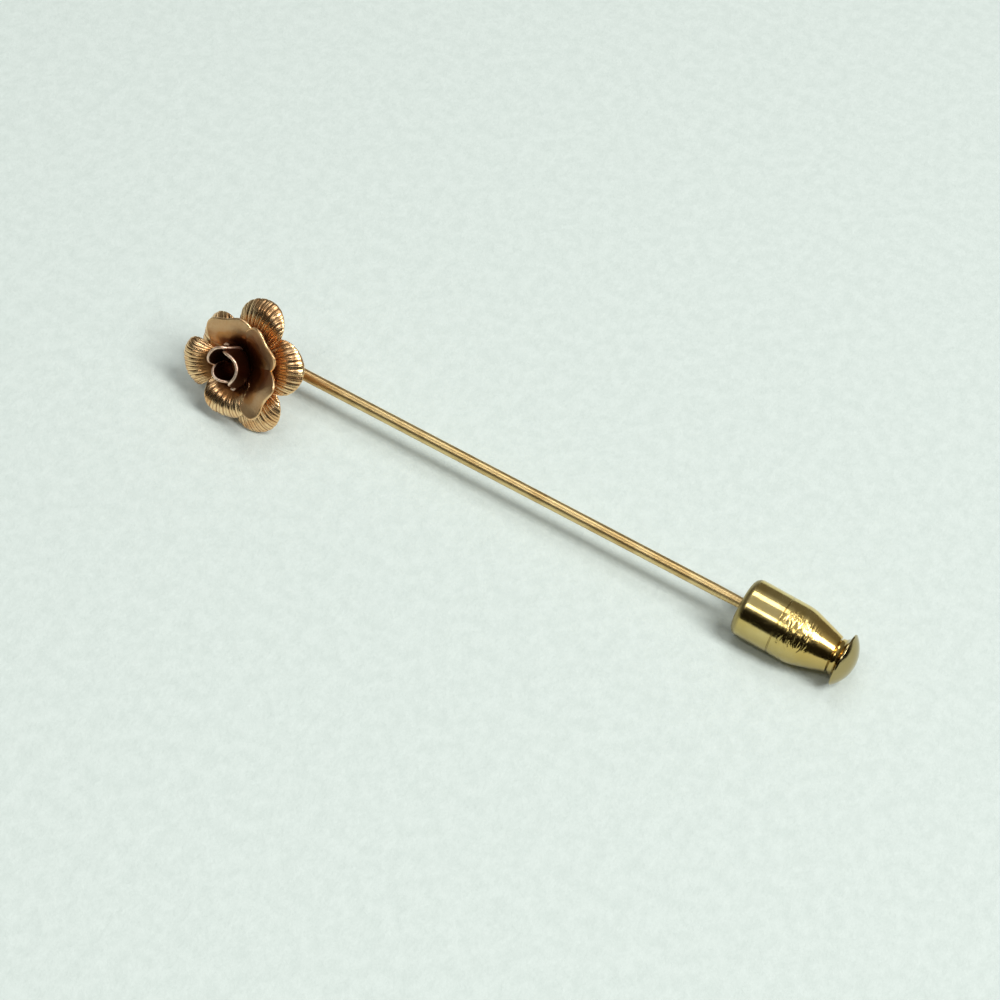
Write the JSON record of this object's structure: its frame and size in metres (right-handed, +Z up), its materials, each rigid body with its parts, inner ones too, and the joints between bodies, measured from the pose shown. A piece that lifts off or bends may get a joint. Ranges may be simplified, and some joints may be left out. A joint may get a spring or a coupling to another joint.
{
  "type": "stick pin",
  "caption": "Stick pin: a rose of ribbed sheet petals on a bent wire, with a spring plunger clutch over its point.",
  "frame": {"origin": "middle of the bottom of the whole pin's box, on the surface that the pin lies on", "axes": "+Z up from the surface; +X along the level wire from the rose towards the clutch; the rose faces -Y and upwards"},
  "size_m": [0.0616, 0.0098, 0.0097],
  "materials": {
    "petals": "polished rose-gold plate over ribbed stamped brass sheet",
    "bud": "polished rose-gold plate over plain stamped brass sheet",
    "wire": "drawn wire with polished yellow-gold plate",
    "clutch": "turned brass with bright yellow-gold plate"
  },
  "bodies": {
    "pin": {"outer_petals": "petals", "inner_petals": "petals", "bud": "bud", "pin_wire": "wire"},
    "clutch": {"clutch_barrel": "clutch"},
    "plunger": {"clutch_plunger": "clutch"}
  },
  "joints": [
    {"name": "clutch_slide", "type": "slide", "parent": "pin", "child": "clutch", "axis": [1, 0, 0], "range_m": [0, 0.02]},
    {"name": "plunger_pull", "type": "slide", "parent": "clutch", "child": "plunger", "axis": [0.999, 0, -0.0436], "range_m": [0, 0.001], "stiffness_N_per_m": 300}
  ]
}
